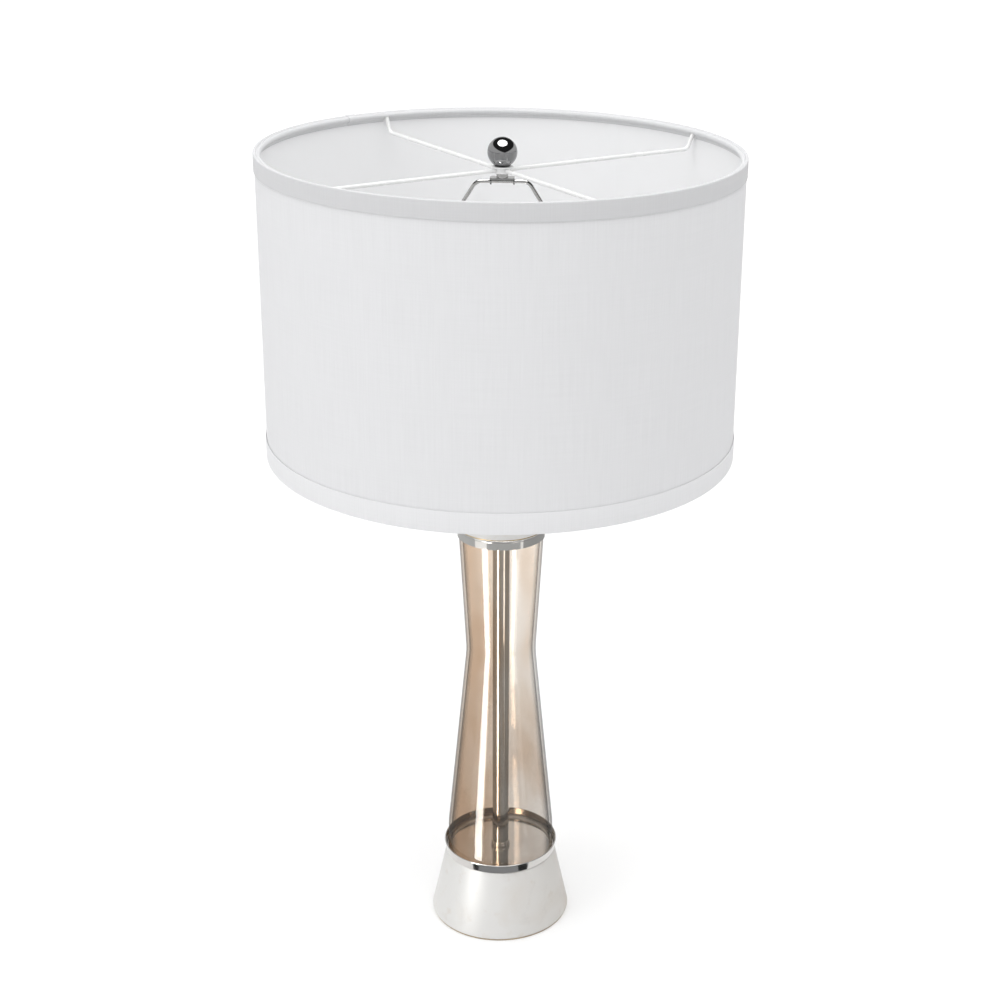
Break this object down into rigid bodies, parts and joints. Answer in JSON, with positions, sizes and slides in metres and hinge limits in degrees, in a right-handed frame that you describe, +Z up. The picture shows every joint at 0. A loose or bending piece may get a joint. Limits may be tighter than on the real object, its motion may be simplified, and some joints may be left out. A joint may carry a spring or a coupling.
{
  "type": "table lamp",
  "caption": "Table lamp: waisted tinted glass column with a centre tube on a marble cone foot, under a white cloth drum shade held on a wire harp by a ball finial.",
  "frame": {"origin": "centre of the pad's underside, where the lamp stands", "axes": "+Z up along the column; the harp lies in the X-Z plane; -Y is the front, where the switch knob points, and +Y is the back, where the cord inlet is"},
  "size_m": [0.3556, 0.3556, 0.6502],
  "materials": {
    "pad": "matt felt",
    "marble": "honed, faint veins",
    "polished_nickel": "polished",
    "brushed_nickel": "satin",
    "nickel_steel": "bright plated",
    "zinc_steel": "zinc plated",
    "dark_nickel": "polished, dark",
    "brass": "satin",
    "lustre_glass": "clear with a pale smoke-brown lustre",
    "clear_rubber": "translucent",
    "black_plastic": "moulded",
    "knob_plastic": "moulded, fluted",
    "insulating_card": "pressed card",
    "screw_aluminium": "drawn, threaded",
    "white_enamel": "gloss",
    "shade_liner": "smooth white sheet",
    "shade_cloth": "fine plain weave"
  },
  "bodies": {
    "lamp_body": {"base_pad": "pad", "marble_base": "marble", "cord_bushing": "black_plastic", "base_washer": "zinc_steel", "base_lock_washer": "zinc_steel", "base_nut": "zinc_steel", "threaded_rod": "zinc_steel", "base_tray": "polished_nickel", "lower_gasket": "clear_rubber", "glass_body": "lustre_glass", "upper_gasket": "clear_rubber", "centre_tube": "polished_nickel", "tube_collar": "polished_nickel", "top_ring": "polished_nickel", "trim_washer": "brass", "marble_cap": "marble", "check_ring": "polished_nickel", "neck": "polished_nickel", "harp_saddle": "nickel_steel", "harp_wire": "nickel_steel", "harp_plate": "nickel_steel", "harp_stud": "nickel_steel", "socket_cap": "brushed_nickel", "socket_shell": "brushed_nickel", "socket_sleeve": "insulating_card", "socket_core": "black_plastic", "screw_shell": "screw_aluminium", "centre_contact": "brass", "switch_bushing": "black_plastic"},
    "ferrule_left": {"ferrule_left": "nickel_steel"},
    "ferrule_right": {"ferrule_right": "nickel_steel"},
    "switch": {"switch_stem": "zinc_steel", "switch_knob": "knob_plastic"},
    "shade": {"shade_liner": "shade_liner", "shade_fabric": "shade_cloth", "top_trim": "shade_cloth", "bottom_trim": "shade_cloth", "top_wire_ring": "white_enamel", "bottom_wire_ring": "white_enamel", "spider_hub": "white_enamel", "spider_arm_1": "white_enamel", "spider_arm_2": "white_enamel", "spider_arm_3": "white_enamel", "spider_arm_4": "white_enamel"},
    "finial": {"finial_neck": "dark_nickel", "finial_ball": "dark_nickel"}
  },
  "joints": [
    {"name": "shade_turn", "type": "hinge", "parent": "lamp_body", "child": "shade", "pos_m": [0, 0, 0.6261], "axis": [0, 0, 1], "continuous": true},
    {"name": "finial_turn", "type": "hinge", "parent": "lamp_body", "child": "finial", "pos_m": [0, 0, 0.6293], "axis": [0, 0, 1], "continuous": true},
    {"name": "switch_turn", "type": "hinge", "parent": "lamp_body", "child": "switch", "pos_m": [0, -0.024, 0.419], "axis": [0, -1, 0], "continuous": true},
    {"name": "ferrule_left_slide", "type": "slide", "parent": "lamp_body", "child": "ferrule_left", "axis": [0, 0, 1], "range_m": [0, 0.012]},
    {"name": "ferrule_right_slide", "type": "slide", "parent": "lamp_body", "child": "ferrule_right", "axis": [0, 0, 1], "range_m": [0, 0.012]}
  ]
}
